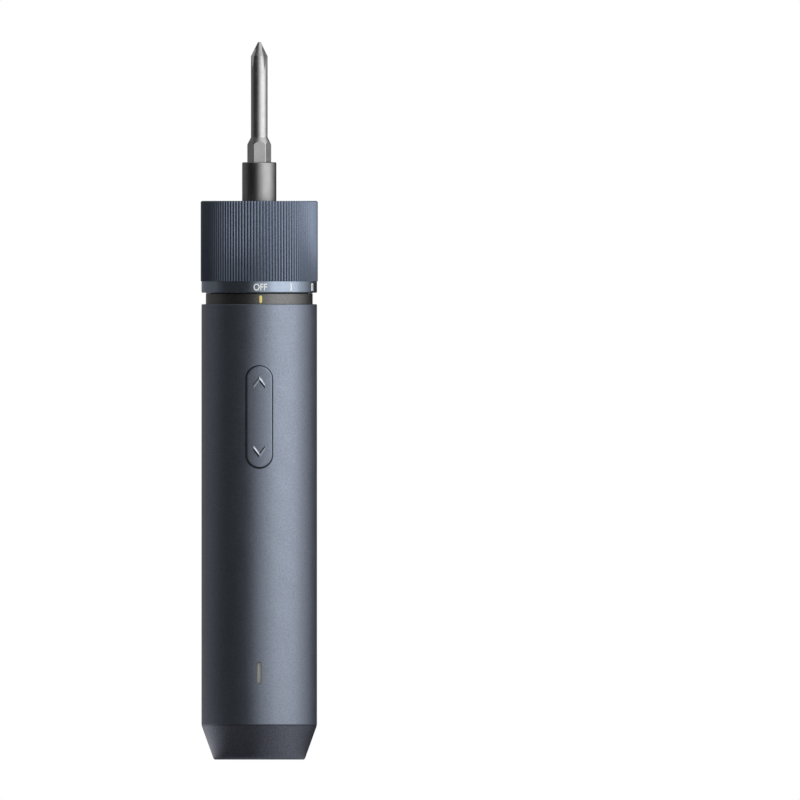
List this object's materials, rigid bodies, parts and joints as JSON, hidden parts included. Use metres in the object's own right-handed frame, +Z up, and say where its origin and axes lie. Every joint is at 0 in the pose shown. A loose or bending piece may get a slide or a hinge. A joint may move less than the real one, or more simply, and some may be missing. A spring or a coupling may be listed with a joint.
{
  "type": "electric screwdriver",
  "caption": "Straight cordless electric screwdriver with a rocker switch, a ribbed torque collar, a hexagon bit socket and a cross-point bit.",
  "frame": {"origin": "centre of the flat foot of the tail cap, on the tool's axis", "axes": "+Z up along the tool's axis from the tail to the tip of the bit, -Y towards the front with the rocker and the status light, +X to the right as the front is seen"},
  "size_m": [0.0354, 0.0354, 0.2175],
  "materials": {
    "body_coat": "satin blue-grey coat with a fine grain",
    "button_coat": "satin blue-grey, raised chevrons",
    "tail_plastic": "satin, near-black blue",
    "collar_coat": "satin blue-grey over fine ribs",
    "scale_coat": "smooth satin blue-grey, white marks",
    "neck_dark": "dark satin",
    "mark_yellow": "yellow inlay",
    "light_guide": "milky light guide",
    "lamp_lens": "frosted clear",
    "nose_black": "dark satin",
    "chuck_steel": "dark turned steel",
    "bit_steel": "satin ground steel",
    "gear_steel": "machined",
    "bearing_steel": "polished",
    "spring_steel": "bright wire",
    "screw_steel": "zinc plated",
    "brass": "machined",
    "bronze": "sintered bronze",
    "gear_nylon": "moulded",
    "frame_plastic": "moulded",
    "plate_steel": "stamped",
    "bell_plastic": "moulded",
    "ferrite": "pressed ferrite",
    "magnet_nickel": "nickel plated",
    "core_iron": "stacked laminations",
    "copper": "enamelled copper",
    "shaft_steel": "ground",
    "cell_wrap": "blue shrink wrap over the cell's can",
    "nickel_strip": "nickel strip",
    "board_green": "solder mask",
    "switch_black": "moulded",
    "usb_steel": "plated steel",
    "wire_skin": "silicone insulation"
  },
  "bodies": {
    "handle": {"tail_cap": "tail_plastic", "usb_socket": "usb_steel", "usb_board": "board_green", "wiring": "wire_skin", "body_tube": "body_coat", "status_lens": "light_guide", "main_board": "board_green", "tact_switches": "switch_black", "battery_cell": "cell_wrap", "battery_strips": "nickel_strip", "chassis_left": "frame_plastic", "chassis_right": "frame_plastic", "chassis_screws": "screw_steel", "motor_can": "plate_steel", "motor_magnets": "ferrite", "motor_end_bell": "bell_plastic", "motor_brushes": "copper", "motor_bushes": "bronze", "motor_plate": "plate_steel", "motor_screws": "screw_steel", "gear_case": "frame_plastic", "rear_ring_gear": "gear_steel", "front_ring_gear": "gear_steel", "lock_ring": "gear_steel", "rear_bush": "bronze", "front_bush": "bronze", "clutch_balls": "bearing_steel", "clutch_plate": "gear_steel", "clutch_spring": "spring_steel", "clutch_housing": "frame_plastic", "neck_ring": "neck_dark", "index_mark": "mark_yellow", "detent_leaf": "spring_steel", "nose_cap": "nose_black", "lamp_lens": "lamp_lens", "lamp_board": "board_green"},
    "collar": {"torque_collar": "collar_coat", "scale_ring": "scale_coat", "cam_ring": "gear_nylon"},
    "spring_seat": {"spring_seat": "frame_plastic"},
    "rocker": {"rocker_button": "button_coat"},
    "rotor": {"rotor_core": "core_iron", "rotor_winding": "copper", "commutator": "copper", "motor_shaft": "shaft_steel", "motor_pinion": "brass"},
    "rear_carrier": {"rear_carrier": "brass"},
    "rear_planet_a": {"rear_planet_a": "gear_nylon"},
    "rear_planet_b": {"rear_planet_b": "gear_nylon"},
    "rear_planet_c": {"rear_planet_c": "gear_nylon"},
    "front_planet_a": {"front_planet_a": "gear_steel"},
    "front_planet_b": {"front_planet_b": "gear_steel"},
    "front_planet_c": {"front_planet_c": "gear_steel"},
    "spindle": {"spindle": "gear_steel", "front_carrier": "gear_steel", "chuck": "chuck_steel", "bit_magnet": "magnet_nickel", "lock_rollers": "bearing_steel", "spindle_clip": "spring_steel"},
    "bit": {"bit": "bit_steel"}
  },
  "joints": [
    {"name": "collar_turn", "type": "hinge", "parent": "handle", "child": "collar", "pos_m": [0, 0, 0.1571], "axis": [0, 0, 1], "range_deg": [-99, 0]},
    {"name": "seat_slide", "type": "slide", "parent": "handle", "child": "spring_seat", "axis": [0, 0, -1], "range_m": [0, 0.0024], "deforming": ["clutch_spring"]},
    {"name": "rocker_tilt", "type": "hinge", "parent": "handle", "child": "rocker", "pos_m": [0, -0.0132, 0.1038], "axis": [1, 0, 0], "range_deg": [-1.5, 1.5], "stiffness_Nm_per_rad": 0.3},
    {"name": "spindle_spin", "type": "hinge", "parent": "handle", "child": "spindle", "pos_m": [0, 0, 0.15], "axis": [0, 0, 1], "continuous": true},
    {"name": "bit_pull", "type": "slide", "parent": "spindle", "child": "bit", "axis": [0, 0, 1], "range_m": [0, 0.016]},
    {"name": "rear_carrier_spin", "type": "hinge", "parent": "handle", "child": "rear_carrier", "pos_m": [0, 0, 0.124], "axis": [0, 0, 1], "continuous": true},
    {"name": "rotor_spin", "type": "hinge", "parent": "handle", "child": "rotor", "pos_m": [0, 0, 0.1], "axis": [0, 0, 1], "continuous": true},
    {"name": "rear_planet_a_spin", "type": "hinge", "parent": "rear_carrier", "child": "rear_planet_a", "pos_m": [0.0072, 0, 0.12], "axis": [0, 0, 1], "continuous": true},
    {"name": "front_planet_a_spin", "type": "hinge", "parent": "spindle", "child": "front_planet_a", "pos_m": [0.0072, 0, 0.128], "axis": [0, 0, 1], "continuous": true},
    {"name": "rear_planet_b_spin", "type": "hinge", "parent": "rear_carrier", "child": "rear_planet_b", "pos_m": [-0.0036, 0.00624, 0.12], "axis": [0, 0, 1], "continuous": true},
    {"name": "front_planet_b_spin", "type": "hinge", "parent": "spindle", "child": "front_planet_b", "pos_m": [-0.0036, 0.00624, 0.128], "axis": [0, 0, 1], "continuous": true},
    {"name": "rear_planet_c_spin", "type": "hinge", "parent": "rear_carrier", "child": "rear_planet_c", "pos_m": [-0.0036, -0.00624, 0.12], "axis": [0, 0, 1], "continuous": true},
    {"name": "front_planet_c_spin", "type": "hinge", "parent": "spindle", "child": "front_planet_c", "pos_m": [-0.0036, -0.00624, 0.128], "axis": [0, 0, 1], "continuous": true}
  ],
  "couplings": [
    {"joint": "seat_slide", "follows": "collar_turn", "m_per_rad": -0.001388},
    {"joint": "rear_carrier_spin", "follows": "spindle_spin", "ratio": 6},
    {"joint": "rotor_spin", "follows": "spindle_spin", "ratio": 36},
    {"joint": "rear_planet_a_spin", "follows": "spindle_spin", "ratio": -15},
    {"joint": "front_planet_a_spin", "follows": "spindle_spin", "ratio": -2.5},
    {"joint": "rear_planet_b_spin", "follows": "spindle_spin", "ratio": -15},
    {"joint": "front_planet_b_spin", "follows": "spindle_spin", "ratio": -2.5},
    {"joint": "rear_planet_c_spin", "follows": "spindle_spin", "ratio": -15},
    {"joint": "front_planet_c_spin", "follows": "spindle_spin", "ratio": -2.5}
  ]
}
